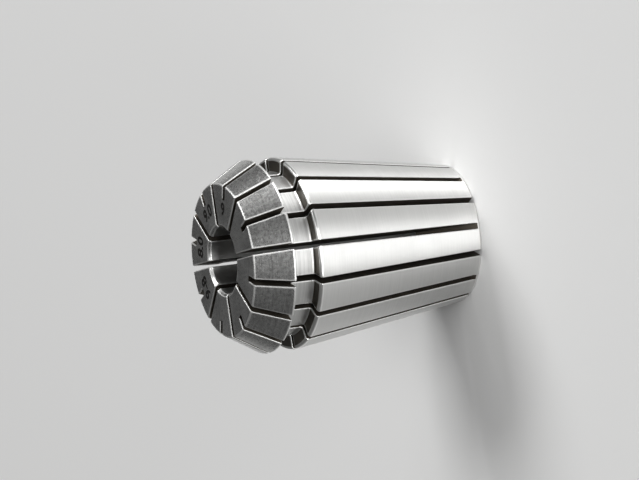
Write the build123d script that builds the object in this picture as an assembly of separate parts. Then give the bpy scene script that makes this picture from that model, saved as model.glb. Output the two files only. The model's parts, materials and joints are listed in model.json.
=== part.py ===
"""Spring collet, size 25, for a 9 mm shank: one turned and ground steel sleeve with sixteen saw slits.

The collet stands on its small rear end. The origin is the centre of the rear face, and +Z runs
along the bore to the nose. All sizes are in millimetres and degrees.
"""
from build123d import *
import math
import os

# Turned form
LENGTH = 34.0
LARGE_DIAMETER = 26.0           # front of the long taper, and the nose collar
TAPER_ANGLE = 8.0               # half angle of the long taper that seats in the holder
NOSE_CONE_ANGLE = 30.0          # half angle of the nose cone that the clamping nut presses on
NOSE_FACE_DIAMETER = 20.6
NOSE_COLLAR_LENGTH = 4.9        # nose face to the front wall of the groove
GROOVE_WIDTH = 3.5              # takes the nut's extracting ring
GROOVE_DIAMETER = 22.0
BORE_DIAMETER = 9.0

# Edges
BORE_FRONT_CHAMFER = 0.35
BORE_REAR_CHAMFER = 0.5
REAR_EDGE_CHAMFER = 0.3
SHOULDER_RADIUS = 0.4           # large end of the long taper
GROOVE_ROOT_CHAMFER = 0.2
COLLAR_CHAMFER = 0.1            # both edges of the narrow land round the nose collar
NOSE_RIM_CHAMFER = 0.18         # between the nose cone and the nose face

# Saw slits, cut in turn from the nose and from the rear
SLITS_PER_END = 8
SLIT_WIDTH = 0.75
SAW_DIAMETER = 50.0
SLIT_FLOOR_RADIUS = 2.0         # nearest that the saw comes to the axis, inside the bore
NOSE_NOTCH_RADIUS = 8.4         # where a rear slit runs out on the nose face
REAR_LIGAMENT = 0.4             # left uncut at the rear edge by a front slit, on the outside
SAW_OVERRUN = 2.0               # how far a cutter's outline stands outside the metal

large_radius = LARGE_DIAMETER / 2
bore_radius = BORE_DIAMETER / 2
groove_radius = GROOVE_DIAMETER / 2
nose_face_radius = NOSE_FACE_DIAMETER / 2
saw_radius = SAW_DIAMETER / 2
taper_slope = math.tan(math.radians(TAPER_ANGLE))
groove_front_z = LENGTH - NOSE_COLLAR_LENGTH
groove_rear_z = groove_front_z - GROOVE_WIDTH
rear_radius = large_radius - groove_rear_z * taper_slope
cone_length = (large_radius - nose_face_radius) / math.tan(math.radians(NOSE_CONE_ANGLE))


def turned_sleeve():
    """The sleeve before it is slit: half its section, turned about the bore's axis."""
    outline = [
        (bore_radius, 0),
        (rear_radius, 0),
        (large_radius, groove_rear_z),
        (groove_radius, groove_rear_z),
        (groove_radius, groove_front_z),
        (large_radius, groove_front_z),
        (large_radius, LENGTH - cone_length),
        (nose_face_radius, LENGTH),
        (bore_radius, LENGTH),
    ]

    def corners(section, *numbers):
        """The section's corners that stand at the given places in the outline."""
        wanted = [outline[number] for number in numbers]
        return [v for v in section.vertices() if any(math.dist((v.X, v.Y), p) < 0.001 for p in wanted)]

    section = make_face(Polyline(*outline, close=True))
    section = chamfer(corners(section, 0), BORE_REAR_CHAMFER)
    section = chamfer(corners(section, 1), REAR_EDGE_CHAMFER)
    section = fillet(corners(section, 2), SHOULDER_RADIUS)
    section = chamfer(corners(section, 3, 4), GROOVE_ROOT_CHAMFER)
    section = chamfer(corners(section, 5, 6), COLLAR_CHAMFER)
    section = chamfer(corners(section, 7), NOSE_RIM_CHAMFER)
    section = chamfer(corners(section, 8), BORE_FRONT_CHAMFER)
    return revolve(Plane.XZ * section, Axis.Z)


def saw_cut(start_z, exit_radius, exit_z):
    """What one slitting saw removes: a straight run from start_z, then the blade's own arc.

    The arc runs out through the point at exit_radius and exit_z. The cut lies in the XZ plane,
    on the side of +X.
    """
    toward_end = 1 if exit_z > start_z else -1
    saw_centre_radius = SLIT_FLOOR_RADIUS + saw_radius
    outside_radius = large_radius + SAW_OVERRUN

    def reach(radius):
        """How far past its own centre the blade cuts at this radius."""
        return math.sqrt(saw_radius**2 - (saw_centre_radius - radius) ** 2)

    centre_z = exit_z - toward_end * reach(exit_radius)
    floor_end = (SLIT_FLOOR_RADIUS, centre_z)
    on_arc = (exit_radius, exit_z)
    run_out = (outside_radius, centre_z + toward_end * reach(outside_radius))
    outline = [
        Line((SLIT_FLOOR_RADIUS, start_z), floor_end),
        ThreePointArc(floor_end, on_arc, run_out),
        Line(run_out, (outside_radius, start_z)),
        Line((outside_radius, start_z), (SLIT_FLOOR_RADIUS, start_z)),
    ]
    return extrude(Plane.XZ * make_face(outline), SLIT_WIDTH / 2, both=True)


def slit_collet():
    """The sleeve with its slits: eight from the nose, and eight from the rear halfway between."""
    pitch = 360 / SLITS_PER_END
    rear_edge_radius = rear_radius + REAR_LIGAMENT * taper_slope
    front_slit = saw_cut(LENGTH + SAW_OVERRUN, rear_edge_radius, REAR_LIGAMENT)
    rear_slit = saw_cut(-SAW_OVERRUN, NOSE_NOTCH_RADIUS, LENGTH)
    cuts = []
    for number in range(SLITS_PER_END):
        cuts.append(Rot(0, 0, number * pitch) * front_slit)
        cuts.append(Rot(0, 0, (number + 0.5) * pitch) * rear_slit)
    return turned_sleeve() - cuts


collet = slit_collet()
os.makedirs("parts", exist_ok=True)
export_step(collet, "parts/collet.step")
print(f"collet: rear diameter {2 * rear_radius:.2f} mm, nose cone {cone_length:.2f} mm long,"
      f" {collet.volume / 1000:.2f} cm3")
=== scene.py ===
# %% [markdown]
# # A slotted spring collet in Blender
#
# A collet is a steel sleeve that grips the shank of a cutting tool. It is turned to shape, ground on
# its long taper, and then sawn from both ends in turn, so that it can close like a spring.
#
# The measured model is the fixed frame that everything here is built around. It gives the length, the
# bore and the box that the finished piece has to stay in. This first cell loads it.

# %% Load the frame
import json
import math

import bmesh
import bpy
from mathutils import Matrix, Vector


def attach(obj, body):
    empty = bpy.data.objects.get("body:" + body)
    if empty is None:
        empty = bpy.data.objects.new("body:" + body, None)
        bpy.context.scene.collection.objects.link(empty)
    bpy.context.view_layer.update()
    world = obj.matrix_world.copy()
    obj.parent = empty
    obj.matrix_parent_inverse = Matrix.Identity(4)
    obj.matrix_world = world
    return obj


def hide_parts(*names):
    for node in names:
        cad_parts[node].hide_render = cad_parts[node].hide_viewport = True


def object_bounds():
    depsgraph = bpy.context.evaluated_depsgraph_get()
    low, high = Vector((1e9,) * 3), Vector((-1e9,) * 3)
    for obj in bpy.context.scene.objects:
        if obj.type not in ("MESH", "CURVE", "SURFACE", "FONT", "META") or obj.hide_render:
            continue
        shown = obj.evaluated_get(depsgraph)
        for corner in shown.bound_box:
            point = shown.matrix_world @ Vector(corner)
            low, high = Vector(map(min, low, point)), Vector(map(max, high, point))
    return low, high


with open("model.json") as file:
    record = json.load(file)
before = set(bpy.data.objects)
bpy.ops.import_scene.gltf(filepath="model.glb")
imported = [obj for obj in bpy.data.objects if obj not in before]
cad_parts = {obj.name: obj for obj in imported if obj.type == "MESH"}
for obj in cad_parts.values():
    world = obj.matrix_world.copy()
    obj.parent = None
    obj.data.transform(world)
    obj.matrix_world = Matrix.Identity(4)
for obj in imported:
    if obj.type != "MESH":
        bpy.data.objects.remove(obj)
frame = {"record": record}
cad_low, cad_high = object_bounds()
print("CAD box, metres:", [round(size, 5) for size in cad_high - cad_low])

# %% [markdown]
# ## Sizes
#
# The real collet is drawn in millimetres, so the drawing here is too, and the Geometry Nodes tree
# turns it into metres at the end. Small sizes are safer that way: a 0.1 mm edge is 0.0001 m, which is
# close to the distances at which Blender merges points.

# %% Sizes, in millimetres
MM = 0.001                      # one millimetre in metres
mounts = {mount["name"]: mount for mount in frame["record"]["mounts"]}

LENGTH = round((cad_high.z - cad_low.z) / MM, 3)
BORE_RADIUS = mounts["bore"]["dims"]["r_mm"]
LARGE_RADIUS = 13.0
GROOVE_RADIUS = 11.0
NOSE_FACE_RADIUS = 10.3
TAPER_ANGLE = math.radians(8)
NOSE_CONE_ANGLE = math.radians(30)
GROOVE_FRONT = LENGTH - 4.9     # height of the groove's front wall above the rear face
GROOVE_REAR = GROOVE_FRONT - 3.5
REAR_RADIUS = LARGE_RADIUS - GROOVE_REAR * math.tan(TAPER_ANGLE)
CONE_BASE = LENGTH - (LARGE_RADIUS - NOSE_FACE_RADIUS) / math.tan(NOSE_CONE_ANGLE)
BORE_FRONT_CHAMFER = 0.35
BORE_REAR_CHAMFER = 0.5

SLITS_PER_END = 8
SLIT_WIDTH = 0.75
SAW_RADIUS = 25.0
SLIT_FLOOR_RADIUS = 2.0         # nearest that the saw comes to the axis, inside the bore
NOSE_NOTCH_RADIUS = 8.4         # where a rear slit runs out on the nose face
REAR_LIGAMENT = 0.4             # left uncut at the rear edge by a front slit
EDGE_BREAK = 0.12               # width of the broken edge on each side of a slit
print("rear end radius", round(REAR_RADIUS, 3), "and cone base at", round(CONE_BASE, 3))

# %% [markdown]
# ## The finishes
#
# One piece of steel carries several finishes, because each surface was made by another tool. The
# taper is ground smooth and bright, the nose is left satin, the groove and the rear face are turned,
# the bore is honed, and the slits are sawn. Each finish becomes one material. They are named here, so
# that the shape can refer to them, and each gets its nodes further down.

# %% Name the finishes
# The groove's rear wall gets a dark finish whose colour is painted shade.
FINISHES = ["honed bore", "turned rear face", "ground taper", "painted shade groove wall", "turned steel",
            "satin nose", "sawn slit"]
finishes = {name: bpy.data.materials.new(name) for name in FINISHES}
print(len(finishes), "finishes:", ", ".join(finishes))

# %% [markdown]
# ## The half section
#
# A turned part is described by half its section, from the bore outwards. Each corner carries the
# radius of its own rounding, because on bright steel it is the rounded edges that catch the light:
# a perfectly sharp edge has no highlight and looks false. A Bevel modifier could round the finished
# mesh, but it goes wrong where a slit ends in the middle of a face, so the roundings are drawn here.
# No outward rounding is smaller than a slit's broken edge. If one were, the outline that is set back
# by that much would cross itself.
#
# Every point also remembers which way the true surface faces there, and whether it lies on an
# outward edge. The direction is used twice: to step into the metal where a slit's edge is broken, and
# to shade the finished mesh. The edge value lets a finish be worn bright along the edges.

# %% Draw the half section
ARC_STEP = math.radians(12)     # turn between two points of a rounding


def rounded(corners):
    """A closed outline of (point, facing, edge, finish), where each corner has its own rounding.

    A corner is given as its distance from the axis, its height, the radius of its rounding, and the
    finish of the surface that follows it.
    """
    outline = []
    for number, (r, z, rounding, finish) in enumerate(corners):
        corner = Vector((r, z))
        to_last = (Vector(corners[number - 1][:2]) - corner).normalized()
        to_next = (Vector(corners[(number + 1) % len(corners)][:2]) - corner).normalized()
        half_angle = to_last.angle(to_next) / 2
        centre = corner + (to_last + to_next).normalized() * rounding / math.sin(half_angle)
        spoke = corner + to_last * rounding / math.tan(half_angle) - centre
        convex = 1 if to_last.cross(to_next) < 0 else -1
        turn = convex * (math.pi - 2 * half_angle)
        steps = math.ceil(abs(turn) / ARC_STEP)
        for step in range(steps + 1):
            arm = Matrix.Rotation(turn * step / steps, 2) @ spoke
            shown = finish if step >= steps / 2 else corners[number - 1][3]
            outline.append((centre + arm, arm.normalized() * convex, max(convex, 0), shown))
    return outline


OUTLINE_CORNERS = [
    (BORE_RADIUS, BORE_REAR_CHAMFER, 0.15, "honed bore"),
    (BORE_RADIUS + BORE_REAR_CHAMFER, 0, 0.15, "turned rear face"),
    (REAR_RADIUS, 0, 0.35, "ground taper"),
    (LARGE_RADIUS, GROOVE_REAR, 0.4, "painted shade groove wall"),
    (GROOVE_RADIUS, GROOVE_REAR, 0.3, "turned steel"),
    (GROOVE_RADIUS, GROOVE_FRONT, 0.3, "turned steel"),
    (LARGE_RADIUS, GROOVE_FRONT, 0.15, "turned steel"),
    (LARGE_RADIUS, CONE_BASE, 0.25, "satin nose"),
    (NOSE_FACE_RADIUS, LENGTH, 0.25, "satin nose"),
    (BORE_RADIUS + BORE_FRONT_CHAMFER, LENGTH, 0.15, "satin nose"),
    (BORE_RADIUS, LENGTH - BORE_FRONT_CHAMFER, 0.15, "honed bore"),
]
outline = rounded(OUTLINE_CORNERS)
sharpest = min(rounding for _, _, rounding, _ in OUTLINE_CORNERS)
print("the half section has", len(outline), "points, and its smallest rounding is", sharpest, "mm")

# %% [markdown]
# ## Where the saw reaches
#
# Each slit is cut by a round saw that runs straight in from one end and then stops, so the bottom of
# the slit ends in the saw's own arc. How deep a point lies inside a cut says three things at once:
# above zero the metal is gone, at zero the slit ends, and over the first few tenths of a millimetre
# the broken edge of the slit grows to its full size. A ring of points goes wherever one of these
# changes. A formula gives those places exactly, where a boolean would leave slivers of faces.

# %% Measure the two saw cuts
SAW_AXIS_RADIUS = SLIT_FLOOR_RADIUS + SAW_RADIUS
EDGE_FADE = 0.3                 # depth over which a slit's broken edge grows to its full size
RING_SPACING = 2.5              # longest step along a straight run
EDGE_BAND = 0.15                # width of the strip beside an edge over which its wear fades
LEAST_GAP = 0.03                # a ring nearer than this to another one adds nothing
HALVINGS = 40                   # of a run, to find where along it a slit ends


def saw_turn(radius):
    """How far round the blade, from its nearest point to the axis, it cuts at this radius."""
    return math.acos((SAW_AXIS_RADIUS - radius) / SAW_RADIUS)


def saw_cut(exit_radius, exit_height, toward):
    """One cut: where the saw's axle stops, which way its arc runs out, and the arc's two ends."""
    stop = exit_height - toward * SAW_RADIUS * math.sin(saw_turn(exit_radius))
    return {"stop": stop, "toward": toward, "turns": (saw_turn(BORE_RADIUS), saw_turn(exit_radius))}


CUTS = {
    "front": saw_cut(REAR_RADIUS + REAR_LIGAMENT * math.tan(TAPER_ANGLE), REAR_LIGAMENT, -1),
    "rear": saw_cut(NOSE_NOTCH_RADIUS, LENGTH, 1),
}


def cut_depth(cut, point):
    """How far inside a cut a point of the section lies, in millimetres; below 0 it is still metal."""
    beyond = (point.y - CUTS[cut]["stop"]) * CUTS[cut]["toward"]
    if beyond <= 0:
        return point.x - SLIT_FLOOR_RADIUS
    return SAW_RADIUS - math.hypot(SAW_AXIS_RADIUS - point.x, beyond)


for cut, facts in CUTS.items():
    print(cut, "cut: the saw's axle stops at height", round(facts["stop"], 2), "mm")


# %% Put a ring of points where a slit begins or ends
def crossing(start, end, cut, depth):
    """How far along a run, from 0 to 1, the cut reaches the given depth, or None."""
    rising = cut_depth(cut, end) > cut_depth(cut, start)
    if (cut_depth(cut, start) - depth) * (cut_depth(cut, end) - depth) >= 0:
        return None
    low, high = 0.0, 1.0
    for _ in range(HALVINGS):
        middle = (low + high) / 2
        if (cut_depth(cut, start.lerp(end, middle)) > depth) == rising:
            high = middle
        else:
            low = middle
    return (low + high) / 2


def ring_shares(start, end):
    """Where rings go along a run, from 0 to 1: the slits' ends, then what else is not too close."""
    run = (end - start).length
    shares = [crossing(start, end, cut, 0) for cut in CUTS]
    shares = [share for share in shares if share is not None]
    others = [crossing(start, end, cut, part * EDGE_FADE) for cut in CUTS for part in (0.5, 1)]
    band = min(EDGE_BAND / run, 1 / 3)
    others += [band, 1 - band] if run > EDGE_BAND else []
    steps = math.ceil(run / RING_SPACING)
    others += [step / steps for step in range(1, steps)]
    for share in others:
        if share is not None and all(abs(share - taken) * run > LEAST_GAP for taken in shares + [0, 1]):
            shares.append(share)
    return sorted(shares)


section = []
for number, (start, facing, edge, finish) in enumerate(outline):
    end, _, end_edge, _ = outline[(number + 1) % len(outline)]
    section.append((start, facing, edge, finish))
    on_arc = (end - start).length < EDGE_BAND and edge and end_edge
    for share in ring_shares(start, end):
        section.append((start.lerp(end, share), facing, edge if on_arc else 0, finish))
print("with rings where the slits end it has", len(section))


# %% Turn the section into a mesh that nodes can read
def add_attribute(mesh, name, kind, values):
    """Store one value for each point of a mesh under a name."""
    attribute = mesh.attributes.new(name, kind, "POINT")
    field = "vector" if kind == "FLOAT_VECTOR" else "value"
    for item, value in zip(attribute.data, values):
        setattr(item, field, value)


count = len(section)
section_mesh = bpy.data.meshes.new("half section")
section_mesh.from_pydata(
    [point.to_3d() for point, _, _, _ in section],
    [(number, (number + 1) % count) for number in range(count)],
    [],
)
add_attribute(section_mesh, "facing", "FLOAT_VECTOR", [facing.to_3d() for _, facing, _, _ in section])
add_attribute(section_mesh, "edge", "FLOAT", [edge for _, _, edge, _ in section])
add_attribute(section_mesh, "finish", "INT", [FINISHES.index(finish) for _, _, _, finish in section])
for cut in CUTS:
    # Rounded to a millionth of a millimetre, so that the depth is exactly 0 where a slit ends.
    depths = [round(cut_depth(cut, point), 6) for point, _, _, _ in section]
    add_attribute(section_mesh, f"{cut} depth", "FLOAT", depths)
collet = bpy.data.objects.new("spring_collet", section_mesh)
bpy.context.scene.collection.objects.link(collet)
print("section mesh:", len(section_mesh.vertices), "points,", len(section_mesh.edges), "edges")

# %% [markdown]
# ## Writing node trees as expressions
#
# A node tree with fifty Math nodes is hard to read as boxes, and harder as code that adds each box.
# The class below wraps one socket. Python's own operators on it add the Math nodes, so that
# `1 - mask` or `half / radius` works, and one method adds every other kind of node. It serves the
# Geometry Nodes trees and the materials alike.

# %% A socket that can be used in an expression
class Wire:
    """One output in a node tree. Arithmetic on it adds the Math nodes that an expression needs."""

    def __init__(self, tree, socket=None):
        self.tree = tree
        self.socket = socket

    def node(self, kind, settings=None, inputs=None, output=0):
        """Add a node: its settings first, then the value or the link of each socket."""
        node = self.tree.nodes.new(kind)
        for name, value in (settings or {}).items():
            setattr(node, name, value)
        for name, value in (inputs or {}).items():
            for item in value if isinstance(value, list) else [value]:
                if isinstance(item, Wire):
                    self.tree.links.new(item.socket, node.inputs[name])
                else:
                    node.inputs[name].default_value = item
        return Wire(self.tree, node.outputs[output])

    def math(self, operation, *values):
        return self.node("ShaderNodeMath", {"operation": operation}, dict(enumerate(values)))

    def __add__(self, other):
        return self.math("ADD", self, other)

    def __radd__(self, other):
        return self.math("ADD", other, self)

    def __sub__(self, other):
        return self.math("SUBTRACT", self, other)

    def __rsub__(self, other):
        return self.math("SUBTRACT", other, self)

    def __mul__(self, other):
        return self.math("MULTIPLY", self, other)

    def __rmul__(self, other):
        return self.math("MULTIPLY", other, self)

    def __truediv__(self, other):
        return self.math("DIVIDE", self, other)

    def __rtruediv__(self, other):
        return self.math("DIVIDE", other, self)

    def __mod__(self, other):
        return self.math("MODULO", self, other)

    def __gt__(self, other):
        return self.math("GREATER_THAN", self, other)

    def __lt__(self, other):
        return self.math("LESS_THAN", self, other)

    def is_about(self, other):
        """1 where two whole numbers are equal, and 0 elsewhere."""
        return self.math("COMPARE", self, other, 0.5)

    def axes(self):
        """The three numbers of a vector."""
        return [self.node("ShaderNodeSeparateXYZ", {}, {0: self}, axis) for axis in range(3)]

    def vector(self, x, y, z):
        return self.node("ShaderNodeCombineXYZ", {}, {0: x, 1: y, 2: z})


print("a Wire has", sum(callable(part) for part in vars(Wire).values()), "methods")


# %% Start, end and run a Geometry Nodes tree
def new_tree(name, sizes):
    """A Geometry Nodes tree, and a Wire for each of its named inputs."""
    tree = bpy.data.node_groups.new(name, "GeometryNodeTree")
    tree.interface.new_socket("Geometry", in_out="INPUT", socket_type="NodeSocketGeometry")
    tree.interface.new_socket("Geometry", in_out="OUTPUT", socket_type="NodeSocketGeometry")
    for label, value in sizes.items():
        kind = "NodeSocketInt" if isinstance(value, int) else "NodeSocketFloat"
        tree.interface.new_socket(label, in_out="INPUT", socket_type=kind)
    group = tree.nodes.new("NodeGroupInput")
    return Wire(tree), {socket.name: Wire(tree, socket) for socket in group.outputs if socket.name}


def end_tree(geometry):
    """Make a Wire the tree's result."""
    geometry.tree.links.new(geometry.socket, geometry.tree.nodes.new("NodeGroupOutput").inputs[0])


def run_tree(piece, tree, sizes):
    """Run a tree on a piece and keep what it makes as the piece's own plain mesh."""
    modifier = piece.modifiers.new(tree.name, "NODES")
    modifier.node_group = tree
    for item in tree.interface.items_tree:
        if item.name in sizes:
            modifier[item.identifier] = sizes[item.name]
    evaluated = piece.evaluated_get(bpy.context.evaluated_depsgraph_get())
    mesh = bpy.data.meshes.new_from_object(evaluated)
    piece.modifiers.clear()
    # Set Material adds an empty slot for the faces that it passes over, and in the end none uses it.
    for slot in reversed(range(len(mesh.materials))):
        if mesh.materials[slot] is None:
            mesh.materials.pop(index=slot)
    piece.data = mesh
    print(f"{tree.name}: {len(mesh.vertices)} points, {len(mesh.polygons)} faces")


# %% [markdown]
# ## Half a leg
#
# The sixteen slits leave sixteen legs, and each half leg is the mirror of the next. So the tree only
# has to make one half leg, from the middle of a front slit to the middle of a rear slit, and the rest
# is repetition. Cutting sixteen slits with booleans would work too, but it leaves ragged faces and
# sharp edges, and the slits' broken edges are what makes the steel look real.
#
# The half leg's outside is a grid. Its rings are the points of the section, and its columns run from
# one slit to the other: the front slit's middle, its wall, the land between the slits, the rear
# slit's wall and its middle. Each point gets a radius, an angle and a height.

# %% Inputs of the collet's tree
collet_sizes = {
    "Slits per end": SLITS_PER_END,
    "Slit width": SLIT_WIDTH,
    "Edge break": EDGE_BREAK,
    "Edge fade": EDGE_FADE,
    "Columns": 14,              # steps from the middle of a front slit to that of a rear slit
    "Arc steps": 16,            # steps along the arc that the saw leaves
    "Unit": MM,
}
wire, given = new_tree("slotted sleeve", collet_sizes)
half_width = given["Slit width"] / 2
half_pitch = math.pi / given["Slits per end"]
columns = given["Columns"]
index = wire.node("GeometryNodeInputIndex")
place = wire.node("GeometryNodeInputPosition")


def named(name, kind="FLOAT"):
    return wire.node("GeometryNodeInputNamedAttribute", {"data_type": kind}, {"Name": name})


def edge_break(depth):
    """How much of a slit's edge is broken where the cut is this deep."""
    return wire.node("ShaderNodeMapRange", {"interpolation_type": "SMOOTHSTEP"}, {
        "Value": depth, "From Min": 0.0, "From Max": given["Edge fade"],
        "To Min": 0.0, "To Max": given["Edge break"]})


print("inputs:", ", ".join(given))

# %% The grid that becomes the outside of half a leg
ring_count = wire.node("GeometryNodeAttributeDomainSize", {}, {0: given["Geometry"]}, "Point Count")
grid = wire.node("GeometryNodeMeshGrid", {}, {"Vertices X": ring_count + 1, "Vertices Y": columns + 1})
# Half is added, so that a whole number that comes out a hair too small is not rounded down.
ring = wire.math("FLOOR", (index + 0.5) / (columns + 1))
column = index - ring * (columns + 1)


def from_section(value, kind, at_ring):
    """Read a value of the section at one of its points."""
    return wire.node("GeometryNodeSampleIndex", {"data_type": kind, "domain": "POINT"}, {
        "Geometry": given["Geometry"], "Value": value, "Index": at_ring % ring_count})


front = from_section(named("front depth"), "FLOAT", ring)
rear = from_section(named("rear depth"), "FLOAT", ring)
at_front_wall = column.is_about(1)
at_rear_wall = column.is_about(columns - 1)

# Points on a slit's wall sit a little deeper in the metal than the surface: that breaks the edge.
sink = at_front_wall * edge_break(front) + at_rear_wall * edge_break(rear)
section_r, section_z, _ = from_section(place, "FLOAT_VECTOR", ring).axes()
facing_r, facing_z, _ = from_section(named("facing", "FLOAT_VECTOR"), "FLOAT_VECTOR", ring).axes()
radius = section_r - facing_r * sink
height = section_z - facing_z * sink
print("the tree has", len(wire.tree.nodes), "nodes so far")

# %% Place the grid's points
def slit_angle(depth, at_wall):
    """How far round the axis a column beside a slit stands from the slit's middle."""
    return wire.math("ARCSINE", (half_width + edge_break(depth) * (1 - at_wall)) / radius)


front_edge = slit_angle(front, at_front_wall)
rear_edge = half_pitch - slit_angle(rear, at_rear_wall)
# From 0 to 1 over the land, whose columns stand between the two slits' broken edges.
across = wire.node("ShaderNodeClamp", {}, {0: (column - 2) / (columns - 4)})
angle = (front_edge + (rear_edge - front_edge) * across) * (column > 0.5)
angle = wire.math("MAXIMUM", angle, half_pitch * (column > columns - 0.5))
grid_x = radius * wire.math("COSINE", angle)
grid_y = radius * wire.math("SINE", angle)
outside = wire.node("GeometryNodeSetPosition", {}, {
    "Geometry": grid, "Position": wire.vector(grid_x, grid_y, height)})
print("the tree has", len(wire.tree.nodes), "nodes so far")

# %% [markdown]
# ## Which way each corner faces
#
# A broken edge only two faces wide looks like a flat facet, unless the light is told to roll round
# it. So every corner of the mesh stores the direction that the real surface has there: outwards on
# the lands, and across the slit on its walls. It is stored as three parts, away from the axis, round
# the axis and along the axis, which stay true however the half leg is turned. A second value on the
# corners is 1 along every edge and fades to 0 beside it, for the finishes to read.

# %% Store each corner's direction and each face's finish
on_front_wall = at_front_wall * (front > 0)
on_rear_wall = at_rear_wall * (rear > 0)
on_land = 1 - on_front_wall - on_rear_wall
wall_angle = wire.math("ARCSINE", half_width / radius)
lean = wire.vector(
    facing_r * on_land - wire.math("SINE", wall_angle) * (on_front_wall + on_rear_wall),
    wire.math("COSINE", wall_angle) * (on_rear_wall - on_front_wall),
    facing_z * on_land)

by_front_slit = (at_front_wall + column.is_about(2)) * (front > 0)
by_rear_slit = (at_rear_wall + column.is_about(columns - 2)) * (rear > 0)
on_edge = wire.math("MAXIMUM", from_section(named("edge"), "FLOAT", ring), by_front_slit + by_rear_slit)


def on_points(value, kind="FLOAT"):
    """Work a value out on the mesh's points, even where faces or corners ask for it."""
    return wire.node("GeometryNodeFieldOnDomain", {"data_type": kind, "domain": "POINT"}, {0: value})


def store(geometry, name, value, kind, domain):
    return wire.node("GeometryNodeStoreNamedAttribute", {"data_type": kind, "domain": domain}, {
        "Geometry": geometry, "Name": name, "Value": value})


face_ring = wire.math("FLOOR", (index + 0.5) / columns)
face_finish = from_section(named("finish", "INT"), "INT", face_ring)
outside = store(outside, "lean", on_points(lean, "FLOAT_VECTOR"), "FLOAT_VECTOR", "CORNER")
outside = store(outside, "edge", on_points(on_edge), "FLOAT", "CORNER")
outside = store(outside, "finish", face_finish, "INT", "FACE")

# The faces that bridge a slit go, wherever the saw has been.
over_front_slit = (on_points(column) < 1) * (on_points(front) > 0)
over_rear_slit = (on_points(column) > columns - 1) * (on_points(rear) > 0)
outside = wire.node("GeometryNodeDeleteGeometry", {"domain": "FACE"}, {
    "Geometry": outside, "Selection": over_front_slit + over_rear_slit})
print("the tree has", len(wire.tree.nodes), "nodes so far")

# %% [markdown]
# ## The walls and the end of a slit
#
# A slit's wall is flat. Its outline is the section, set back by the broken edge, as far as the saw
# went in, closed by the saw's arc. Filling that outline gives the wall. The end of the slit is a
# narrow strip that follows the same arc. Both are drawn for the side where y is positive; the rear
# slit's are mirrored and turned by half a pitch.

# %% Draw half a slit
MERGE = 0.002                   # millimetres; points this close are one point
SLIT = FINISHES.index("sawn slit")


def transformed(geometry, scale=(1, 1, 1), turn=0.0):
    return wire.node("GeometryNodeTransform", {}, {
        "Geometry": geometry, "Scale": scale, "Rotation": wire.vector(0, 0, turn)})


def merged(*parts):
    joined = wire.node("GeometryNodeJoinGeometry", {}, {0: list(parts)})
    return wire.node("GeometryNodeMergeByDistance", {}, {"Geometry": joined, "Distance": MERGE})


def in_metres(geometry):
    scale = wire.vector(given["Unit"], given["Unit"], given["Unit"])
    return wire.node("GeometryNodeTransform", {}, {"Geometry": geometry, "Scale": scale})


def placed(geometry, r, z, side):
    """Put drawn points in their place in space, on the slit's middle (0) or on its wall (1)."""
    off_middle = half_width * side
    x = wire.math("SQRT", r * r - off_middle * off_middle)
    return wire.node("GeometryNodeSetPosition", {}, {
        "Geometry": geometry, "Position": wire.vector(x, off_middle, z)})


def saw_arc(cut, share):
    """Radius and height of a point of the saw's arc, from the bore (0) to where it runs out (1)."""
    first, last = cut["turns"]
    turn = first + (last - first) * share
    return (SAW_AXIS_RADIUS - SAW_RADIUS * wire.math("COSINE", turn),
            cut["stop"] + cut["toward"] * SAW_RADIUS * wire.math("SINE", turn))


def half_slit(name):
    """The wall and half the end of one slit."""
    depth = named(f"{name} depth")
    set_back = wire.node("ShaderNodeVectorMath", {"operation": "SCALE"}, {
        0: named("facing", "FLOAT_VECTOR"), "Scale": edge_break(depth) * -1})
    edge = wire.node("GeometryNodeSetPosition", {}, {"Geometry": given["Geometry"], "Offset": set_back})
    edge = wire.node("GeometryNodeDeleteGeometry", {}, {"Geometry": edge, "Selection": depth < -MERGE})
    arc = wire.node("GeometryNodeMeshLine", {}, {"Count": given["Arc steps"] + 1})
    r, z = saw_arc(CUTS[name], index / given["Arc steps"])
    arc = wire.node("GeometryNodeSetPosition", {}, {"Geometry": arc, "Position": wire.vector(r, z, 0)})
    loop = wire.node("GeometryNodeMeshToCurve", {}, {0: merged(edge, arc)})
    r, z, _ = place.axes()
    wall = placed(wire.node("GeometryNodeFillCurve", {"mode": "NGONS"}, {0: loop}), r, z, 1)
    strip = wire.node("GeometryNodeMeshGrid", {}, {"Vertices X": given["Arc steps"] + 1, "Vertices Y": 2})
    r, z = saw_arc(CUTS[name], wire.math("FLOOR", (index + 0.5) / 2) / given["Arc steps"])
    end = placed(strip, r, z, index % 2)
    both = wire.node("GeometryNodeJoinGeometry", {}, {0: [wall, end]})
    return store(both, "finish", SLIT, "INT", "FACE")


front_half_slit = half_slit("front")
rear_half_slit = transformed(half_slit("rear"), (1, -1, 1), half_pitch)
print("the tree has", len(wire.tree.nodes), "nodes so far")

# %% [markdown]
# ## Repeat it round the axis
#
# The half leg is mirrored, and the pair is set round the axis once for each front slit. Points that
# lie on each other are merged only once everything stands in its place, so that no seam is left open.

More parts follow.
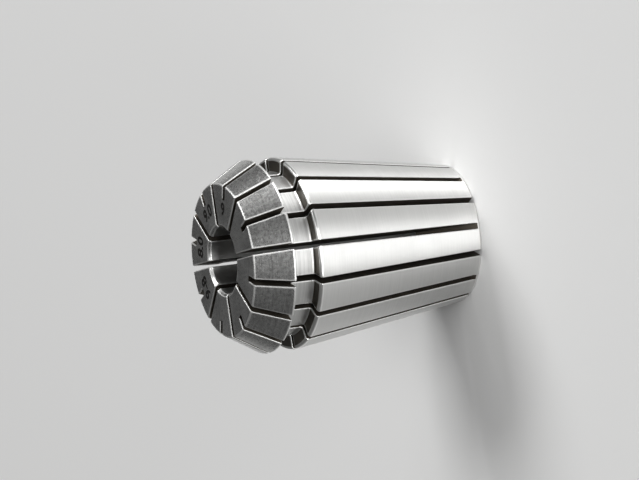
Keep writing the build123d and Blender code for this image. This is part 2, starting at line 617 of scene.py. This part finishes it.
# %% Mirror, repeat and finish
half_leg = wire.node("GeometryNodeJoinGeometry", {}, {0: [outside, front_half_slit, rear_half_slit]})
mirrored = transformed(half_leg, (1, -1, 1))
mirrored_lean = wire.node("ShaderNodeVectorMath", {"operation": "MULTIPLY"}, {
    0: named("lean", "FLOAT_VECTOR"), 1: (1, -1, 1)})
mirrored = store(mirrored, "lean", mirrored_lean, "FLOAT_VECTOR", "CORNER")
legs = wire.node("GeometryNodeJoinGeometry", {}, {0: [half_leg, mirrored]})
centres = wire.node("GeometryNodePoints", {}, {"Count": given["Slits per end"]})
repeated = wire.node("GeometryNodeInstanceOnPoints", {}, {
    "Points": centres, "Instance": legs, "Rotation": wire.vector(0, 0, index * half_pitch * 2)})
sleeve = in_metres(merged(wire.node("GeometryNodeRealizeInstances", {}, {0: repeated})))
for number, material in enumerate(finishes.values()):
    sleeve = wire.node("GeometryNodeSetMaterial", {}, {
        "Geometry": sleeve, "Selection": named("finish", "INT").is_about(number), "Material": material})
end_tree(sleeve)
print("the finished tree has", len(wire.tree.nodes), "nodes")

# %% Make the collet
run_tree(collet, wire.tree, collet_sizes)


def close_shell(piece):
    """Turn all faces outwards, and report whether the shell is closed and how much metal it holds."""
    shell = bmesh.new()
    shell.from_mesh(piece.data)
    bmesh.ops.recalc_face_normals(shell, faces=shell.faces)
    open_edges = sum(len(edge.link_faces) != 2 for edge in shell.edges)
    loose = sum(not vertex.link_faces for vertex in shell.verts)
    volume = shell.calc_volume(signed=True)
    if volume < 0:
        bmesh.ops.reverse_faces(shell, faces=shell.faces)
    shell.to_mesh(piece.data)
    shell.free()
    print(f"{open_edges} open edges, {loose} loose points, {abs(volume) * 1e6:.3f} cm3 of steel")


close_shell(collet)

# %% [markdown]
# ## The size marks
#
# A collet is marked with the sizes that it grips. Here they are plain numbers, cut a twentieth of a
# millimetre deep into the nose face. The numbers start as text, which nodes turn into curves, fill
# and give a thickness; a boolean then takes them out of the steel. Only four small marks are cut, in
# a flat face, so here a boolean leaves a clean result.

# %% Draw plain numbers on the nose face
# Each mark's text, its heading in degrees, and how far from the axis it stands
MARKS = [("9", -21.4, 7.0), ("9.0", 21.5, 7.1), ("8.0", 69.0, 7.1), ("9-8", 113.5, 7.3)]
CAPITAL_SHARE = 0.73            # height of a digit as a share of the font's size
KNOT_SIZE = 0.1                 # points this near to where an outline crosses itself become one
mark_sizes = {
    "Mark height": 1.7,
    "Mark depth": 0.05,
    "Bolder by": 0.085,         # how far a digit's outline moves outwards
    "Nose height": LENGTH,
    "Unit": MM,
}
etched = bpy.data.materials.new("etched mark")

wire, given = new_tree("engraved numbers", mark_sizes)
marks = []
for text, degrees, mark_radius in MARKS:
    letters = wire.node("GeometryNodeStringToCurves", {"align_x": "CENTER", "align_y": "MIDDLE"}, {
        "String": text, "Size": given["Mark height"] / CAPITAL_SHARE})
    strokes = wire.node("GeometryNodeRealizeInstances", {}, {0: letters})
    strokes = wire.node("GeometryNodeResampleCurve", {"mode": "EVALUATED"}, {0: strokes})
    along_x, along_y, _ = wire.node("GeometryNodeInputTangent").axes()
    outwards = wire.vector(along_y * given["Bolder by"], -1 * along_x * given["Bolder by"], 0)
    strokes = wire.node("GeometryNodeSetPosition", {}, {"Geometry": strokes, "Offset": outwards})
    flat = wire.node("GeometryNodeFillCurve", {"mode": "NGONS"}, {0: strokes})
    # In a digit's inner corners the bolder outline crosses itself, at points with four neighbours.
    crossed = wire.node("GeometryNodeInputMeshVertexNeighbors") > 3.5
    knots = wire.node("GeometryNodeSeparateGeometry", {"domain": "POINT"}, {
        0: flat, "Selection": crossed})
    to_knot = wire.node("GeometryNodeProximity", {"target_element": "POINTS"}, {0: knots}, "Distance")
    flat = wire.node("GeometryNodeMergeByDistance", {}, {
        "Geometry": flat, "Selection": to_knot < KNOT_SIZE, "Distance": KNOT_SIZE})
    bottom_height = given["Nose height"] - given["Mark depth"]
    moved = wire.node("GeometryNodeTransform", {}, {
        "Geometry": flat, "Translation": wire.vector(0, mark_radius, bottom_height)})
    marks.append(wire.node("GeometryNodeTransform", {}, {       # it stands at +Y, a heading of 90
        "Geometry": moved, "Rotation": (0, 0, math.radians(degrees - 90))}))
print(len(MARKS), "marks, and the tree has", len(wire.tree.nodes), "nodes so far")

# %% Cut the numbers
bottom = wire.node("GeometryNodeJoinGeometry", {}, {0: marks})
# The cutter reaches as far above the face as it goes in.
top = wire.node("GeometryNodeExtrudeMesh", {}, {
    "Mesh": bottom, "Offset": (0, 0, 1), "Offset Scale": given["Mark depth"] * 2, "Individual": False})
cutter = merged(top, wire.node("GeometryNodeFlipFaces", {}, {0: bottom}))
cutter = wire.node("GeometryNodeSetMaterial", {}, {"Geometry": cutter, "Material": etched})
end_tree(wire.node("GeometryNodeMeshBoolean", {"operation": "DIFFERENCE", "solver": "EXACT"}, {
    "Mesh 1": given["Geometry"], "Mesh 2": in_metres(cutter)}))
run_tree(collet, wire.tree, mark_sizes)
close_shell(collet)


# %% [markdown]
# ## Shading
#
# The directions that the tree stored on the corners now become the mesh's own normals. Smooth shading
# alone would guess them from the faces, and smear the light of a land over the broken edge beside it.
# The walls and ends of the slits and the engraved numbers have no direction stored. They are shaded as
# their faces stand, which is enough where a surface is flat or almost hidden. All this comes last, when
# nothing changes the mesh again.

# %% Shade every corner as the true surface faces
def shade_true(piece):
    """Give each corner the direction stored for it; corners without one take their face's own."""
    mesh = piece.data
    stored = mesh.attributes["lean"].data
    normals = [None] * len(mesh.loops)
    for face in mesh.polygons:
        face.use_smooth = True
        for corner in face.loop_indices:
            away, around, along = stored[corner].vector
            spot = mesh.vertices[mesh.loops[corner].vertex_index].co
            out = Vector((spot.x, spot.y, 0)).normalized()
            facing = away * out + around * Vector((-out.y, out.x, 0)) + Vector((0, 0, along))
            has_own = facing.length > 0.5       # a stored direction is 1 long, and a missing one 0
            normals[corner] = facing.normalized() if has_own else face.normal.copy()
    mesh.normals_split_custom_set(normals)
    for name in ("lean", "finish"):
        mesh.attributes.remove(mesh.attributes[name])
    print("corners shaded from the drawing:", len(normals))


shade_true(collet)
print("materials on the collet:", [material.name for material in collet.data.materials])

# %% [markdown]
# ## Helpers for the steel finishes
#
# All the finishes are the same steel: a metal that reflects a little over half the light. What tells
# them apart is how rough they are and which way the tool's marks run. The patterns read the piece's
# own coordinates in millimetres, so a mark 0.1 mm wide is written as 0.1.

# %% Patterns in millimetres
STEEL = (0.62, 0.62, 0.61)      # red, green and blue of bare steel


def piece_millimetres(material):
    """Where a point is on its piece, in millimetres."""
    material.use_nodes = True
    metres = Wire(material.node_tree).node("ShaderNodeTexCoord", {}, {}, "Object")
    return metres.node("ShaderNodeVectorMath", {"operation": "SCALE"}, {0: metres, "Scale": 1 / MM})


def noise(spot, size, detail=2.0, stretch=1):
    """Smooth noise from 0 to 1 with grains about `size` millimetres across.

    The grains are `stretch` times as long across the axis as along it. A long stretch draws them out
    into rings round the collet.
    """
    scaled = spot.node("ShaderNodeVectorMath", {"operation": "DIVIDE"}, {
        0: spot, 1: (size * stretch, size * stretch, size)})
    return spot.node("ShaderNodeTexNoise", {}, {"Vector": scaled, "Scale": 1.0, "Detail": detail}, "Fac")


def rise(value, low, high):
    """0 below `low` and 1 above `high`, with a smooth step between."""
    return value.node("ShaderNodeMapRange", {"interpolation_type": "SMOOTHSTEP"}, {
        "Value": value, "From Min": low, "From Max": high})


def shade_of(colour, factor):
    return tuple(factor * part for part in colour)


def tint(share, dark, light):
    """A colour between two, by a share from 0 to 1; each is a colour or the Wire of one."""
    dark, light = (part if isinstance(part, Wire) else (*part, 1) for part in (dark, light))
    # The Mix node's colours are its inputs 6 and 7 and its output 2.
    return share.node("ShaderNodeMix", {"data_type": "RGBA"}, {"Factor": share, 6: dark, 7: light}, 2)


print("red, green and blue of bare steel:", STEEL)

# %% [markdown]
# ## Worn edges
#
# Every corner of the mesh knows whether it lies on an edge. Edges are rubbed bright whenever the
# collet is pushed into its holder or knocks against another, but never evenly, so noise decides how
# much of that shows in each place.
#
# The marks of turning and grinding run round the axis and are finer than a pixel. What shows is that
# they smear every reflection the other way, along the collet. The shader has this built in as
# anisotropy: without a tangent of its own it takes the direction round the object's Z axis, and a
# quarter turn sets the smear along the axis.

# %% Worn edges, and what all steel finishes share
SMEAR_ALONG_AXIS = 0.25         # in turns, from the direction round the axis
WEAR_PATCH = 2.0                # millimetres over which the wear changes


def worn(spot):
    """How far an edge is rubbed bright here, from 0 to 1."""
    edge = spot.node("ShaderNodeAttribute", {"attribute_name": "edge"}, {}, "Fac")
    return rise(edge * (0.80 + 0.4 * noise(spot, WEAR_PATCH)), 0.50, 1.05)


def dress(material, colour, roughness, relief, depth, metallic=1.0, smear=0.0, shine=0.5):
    """Set up a material: what varies is linked, and the relief is `depth` millimetres deep."""
    tree = material.node_tree
    shader = next(node for node in tree.nodes if node.type == "BSDF_PRINCIPLED")
    shader.inputs["Metallic"].default_value = metallic
    shader.inputs["Anisotropic"].default_value = smear
    shader.inputs["Anisotropic Rotation"].default_value = SMEAR_ALONG_AXIS
    shader.inputs["Specular IOR Level"].default_value = shine
    bump = relief.node("ShaderNodeBump", {}, {"Height": relief, "Strength": 1.0, "Distance": depth * MM})
    for name, value in (("Base Color", colour), ("Roughness", roughness), ("Normal", bump)):
        tree.links.new(value.socket, shader.inputs[name])
    print(f"{material.name}: {len(tree.nodes)} nodes")


# %% [markdown]
# ## Ground taper
#
# A grinding wheel leaves marks that run round the taper: rings about a tenth of a millimetre wide, a
# few percent lighter or darker, on top of the smear. Broader, fainter clouds come from handling. An
# image of fine scratches could be wrapped round the taper, but noise that is stretched across the axis
# needs no file and has no seam.

# %% Ground taper
material = finishes["ground taper"]
spot = piece_millimetres(material)
hair_rings = noise(spot, 0.07, stretch=60)
rings = rise(noise(spot, 0.12, 3.0, stretch=90), 0.25, 0.75)
clouds = noise(spot, 2.5, 3.0)
rubbed = worn(spot)
ground = tint(rings * 0.5 + clouds * 0.5, shade_of(STEEL, 1.06), shade_of(STEEL, 1.20))
dress(material,
      colour=tint(rubbed, ground, shade_of(STEEL, 1.32)),
      roughness=0.34 + 0.07 * hair_rings + 0.05 * clouds - 0.10 * rubbed,
      relief=hair_rings * 0.7 + rings * 0.5,
      depth=0.0012,
      smear=0.8)

# %% [markdown]
# ## Satin nose
#
# The nose is not ground. It keeps the dull grey skin that hardening and a light blasting gave it: an
# uneven mottle with small dark pits, and on the cone faint rings from turning. The skin is rubbed off
# along the edges, where bright steel shows. One noise alone would look like cloth, so a fine grain, a
# broader mottle and the rings are mixed, as they are in the real skin.

# %% Satin nose
material = finishes["satin nose"]
spot = piece_millimetres(material)
grain = noise(spot, 0.15)
mottle = noise(spot, 0.35, 3.0)
rings = noise(spot, 0.12, stretch=25)
clouds = noise(spot, 3.0)
pits = rise(grain, 0.50, 0.66)
rubbed = worn(spot)
skin = rise(grain * 0.45 + mottle * 0.25 + rings * 0.30, 0.38, 0.62)
dull = tint(skin, shade_of(STEEL, 0.56), shade_of(STEEL, 1.06))
dull = tint(pits * 0.4, dull, shade_of(STEEL, 0.30))
dress(material,
      colour=tint(rubbed, dull, shade_of(STEEL, 0.92)),
      roughness=0.20 + 0.10 * mottle + 0.05 * clouds + 0.24 * rubbed,
      relief=(grain + mottle * 0.6 + rings * 0.3) * (1 - rubbed),
      depth=0.007)

# %% [markdown]
# ## Turned steel
#
# The groove's floor, its front wall and the narrow collar before the nose cone are as the lathe left
# them, with slightly coarser rings than grinding leaves. The rear face is turned too, but there the
# rings lie in one plane, so its pattern reads the distance from the axis.

# %% Turned steel
material = finishes["turned steel"]
spot = piece_millimetres(material)
rings = rise(noise(spot, 0.16, stretch=60), 0.30, 0.70)
clouds = noise(spot, 1.5, 3.0)
rubbed = worn(spot)
lathed = tint(rings * 0.6 + clouds * 0.4, shade_of(STEEL, 0.68), shade_of(STEEL, 0.96))
dress(material,
      colour=tint(rubbed, lathed, shade_of(STEEL, 1.15)),
      roughness=0.30 + 0.08 * rings + 0.08 * clouds + 0.04 * rubbed,
      relief=rings,
      depth=0.0015,
      smear=0.6)

# %% Turned rear face
material = finishes["turned rear face"]
spot = piece_millimetres(material)
x, y, _ = spot.axes()
from_axis = spot.math("SQRT", x * x + y * y)
rings = noise(spot.vector(0.0, 0.0, from_axis), 0.10)
clouds = noise(spot, 1.5, 3.0)
rubbed = worn(spot)
lathed = tint(rings * 0.5 + clouds * 0.5, shade_of(STEEL, 0.80), shade_of(STEEL, 1.08))
dress(material,
      colour=tint(rubbed, lathed, shade_of(STEEL, 1.20)),
      roughness=0.24 + 0.10 * rings + 0.08 * clouds - 0.06 * rubbed,
      relief=rings,
      depth=0.003)

# %% [markdown]
# ## Honed bore
#
# The bore grips the tool, so it is honed: fine marks round the bore, and darker than the outside
# because little light reaches it and oil stays in it. The depth of the bore makes most of that by
# itself, and a darker steel colour adds painted shade on top, with some of it standing for the oil.

# %% Honed bore
material = finishes["honed bore"]
spot = piece_millimetres(material)
rings = noise(spot, 0.08, stretch=40)
clouds = noise(spot, 2.0, 3.0)
rubbed = worn(spot)
# The darker steel here is painted shade for the deep bore, and partly the oil.
honed_oil_and_painted_shade = tint(clouds, shade_of(STEEL, 0.72), shade_of(STEEL, 0.95))
dress(material,
      colour=tint(rubbed, honed_oil_and_painted_shade, shade_of(STEEL, 1.20)),
      roughness=0.24 + 0.08 * rings + 0.06 * clouds,
      relief=rings,
      depth=0.002,
      smear=0.4)

# %% [markdown]
# ## Sawn slits and the groove wall, with painted shade
#
# The slits are sawn before the collet is hardened, and nothing reaches in to clean them afterwards.
# They keep a dull, slightly brown film of scale and oil, and their colour is darker still as painted
# shade, so that light between the walls does not make them look bright. Plain black would be simpler,
# but the slits would look painted on, while a dark film that still reflects a little shows how deep
# they are. The groove's rear wall gets the same dark colour, which there is painted shade only.

# %% Sawn slits
# This dark colour is partly a film of oil and scale and partly painted shade; on the groove wall it is
# painted shade only.
OIL_FILM_AND_PAINTED_SHADE = (0.070, 0.061, 0.050)   # steel under a film of old oil
material = finishes["sawn slit"]
spot = piece_millimetres(material)
blotches = noise(spot, 0.9, 3.0)
scratches = noise(spot, 0.07, stretch=14)
# The slits' colour is the oil film, darkened further as painted shade.
dress(material,
      colour=tint(blotches, OIL_FILM_AND_PAINTED_SHADE, shade_of(OIL_FILM_AND_PAINTED_SHADE, 1.7)),
      roughness=0.50 + 0.18 * blotches,
      relief=scratches + blotches * 0.4,
      depth=0.004)

# %% Groove wall in painted shade
material = finishes["painted shade groove wall"]
spot = piece_millimetres(material)
blotches = noise(spot, 0.7, 3.0)
rubbed = worn(spot)
# This dark colour is painted shade, for a ledge that little light reaches.
painted_shade = tint(blotches, shade_of(OIL_FILM_AND_PAINTED_SHADE, 0.7), shade_of(OIL_FILM_AND_PAINTED_SHADE, 1.5))
dress(material,
      colour=tint(rubbed, painted_shade, shade_of(STEEL, 1.1)),
      roughness=0.30 + 0.14 * blotches,
      relief=blotches,
      depth=0.003)

# %% [markdown]
# ## Etched marks
#
# The numbers are black, because acid or a laser leaves oxide in them. Oxide is no metal, so this is
# the one finish with no metallic shine. It is rough as well, so that the thin strokes stay dark from
# every side.

# %% Etched marks
spot = piece_millimetres(etched)
grain = noise(spot, 0.12, 3.0)
dress(etched,
      colour=tint(grain, (0.006, 0.006, 0.006), (0.016, 0.015, 0.014)),
      roughness=0.70 + 0.2 * grain,
      relief=grain,
      depth=0.006,
      metallic=0.0,
      shine=0.05)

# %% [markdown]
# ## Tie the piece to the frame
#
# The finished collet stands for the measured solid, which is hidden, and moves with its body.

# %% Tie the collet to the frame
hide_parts("collet")
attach(collet, "root")
print("the collet replaces the solid and rides with the root body")

# %% [markdown]
# ## Floor
#
# The collet stands on its small end, as it does in a collet rack. The floor is wide, so that it fills
# the picture from any side, and pale, because bright steel is only as light as what it reflects.

# %% Floor
FLOOR_REACH = 3.0               # metres from the middle to each edge
floor_mesh = bpy.data.meshes.new("floor")
corners = [(x * FLOOR_REACH, y * FLOOR_REACH, 0) for x, y in ((-1, -1), (1, -1), (1, 1), (-1, 1))]
floor_mesh.from_pydata(corners, [], [(0, 1, 2, 3)])
floor = bpy.data.objects.new("floor", floor_mesh)
bpy.context.scene.collection.objects.link(floor)
paper = bpy.data.materials.new("pale paper")
paper.use_nodes = True
shader = next(node for node in paper.node_tree.nodes if node.type == "BSDF_PRINCIPLED")
shader.inputs["Base Color"].default_value = (0.72, 0.72, 0.715, 1)
shader.inputs["Roughness"].default_value = 0.7
floor.data.materials.append(paper)
print("floor laid")

# %% [markdown]
# ## Camera
#
# A long lens from half a metre keeps the parallel slits nearly parallel. A short one from nearby would
# swell the nose, which is nearer than the rear end. The camera is turned on its side, so that the
# standing collet lies across the picture with its nose to the left.

# %% Camera
CAMERA_PLACE = Vector((-30.643, -492.495, 244.661)) * MM     # from the middle of the rear face
CAMERA_AIM = Vector((1.260, 0.878, 19.098)) * MM
CAMERA_ROLL = math.radians(-96.76)
FOCAL_LENGTH = 227.31           # millimetres, on a sensor 36 mm wide
camera_data = bpy.data.cameras.new("camera")
camera_data.lens = FOCAL_LENGTH
camera_data.sensor_width = 36
camera_data.clip_start = 0.01
camera = bpy.data.objects.new("camera", camera_data)
bpy.context.scene.collection.objects.link(camera)
upright = (CAMERA_AIM - CAMERA_PLACE).to_track_quat("-Z", "Y").to_matrix()
turned = upright @ Matrix.Rotation(CAMERA_ROLL, 3, "Z")
camera.matrix_world = Matrix.Translation(CAMERA_PLACE) @ turned.to_4x4()
bpy.context.scene.camera = camera
print("camera", round((CAMERA_AIM - CAMERA_PLACE).length, 3), "m from the collet")

# %% [markdown]
# ## Light
#
# Steel shows its surroundings, so the light is made of soft panels. Two wide ones stand low, to the
# right and in front: smeared along the collet, each makes the land that faces it bright from end to
# end and leaves the next one darker. They stand far off, so that the floor is lit evenly. The key
# light and a weaker one stand higher, where the rounded edges of the nose can catch them. A dim grey
# room fills in the rest, and keeps the nose face dark.


# %% Light
def softbox(name, heading, elevation, distance, width, height, power):
    """A soft light that faces the collet, in metres and watts.

    The heading, from +X towards +Y, and the elevation are in degrees.
    """
    data = bpy.data.lights.new(name, "AREA")
    data.shape = "RECTANGLE"
    data.size = width
    data.size_y = height
    data.energy = power
    light = bpy.data.objects.new(name, data)
    bpy.context.scene.collection.objects.link(light)
    lift = Matrix.Rotation(math.radians(-elevation), 4, "Y")
    turn = Matrix.Rotation(math.radians(heading), 4, "Z")
    aim = Vector((0, 0, LENGTH * MM / 2))
    stand = aim + turn @ lift @ Vector((distance, 0, 0))
    facing = (aim - stand).to_track_quat("-Z", "Y").to_matrix()
    light.matrix_world = Matrix.Translation(stand) @ facing.to_4x4()


softbox("key", heading=13, elevation=50, distance=1.20, width=0.54, height=0.54, power=8.8)
softbox("top", heading=-82, elevation=62, distance=1.60, width=0.68, height=0.68, power=6.0)
softbox("low right", heading=-14, elevation=4, distance=2.40, width=1.02, height=0.27, power=42.0)
softbox("low front", heading=-97, elevation=6, distance=2.40, width=2.13, height=0.32, power=57.0)

# %% Room
ROOM_LIGHT = 0.125
world = bpy.data.worlds.new("grey room")
bpy.context.scene.world = world
world.use_nodes = True
room = world.node_tree.nodes["Background"]
room.inputs["Color"].default_value = (1, 1, 1, 1)
room.inputs["Strength"].default_value = ROOM_LIGHT
bpy.context.scene.view_settings.view_transform = "Standard"
print("the room gives", ROOM_LIGHT, "of full white")

# %% [markdown]
# The dressed collet has to stay inside the measured solid's box.
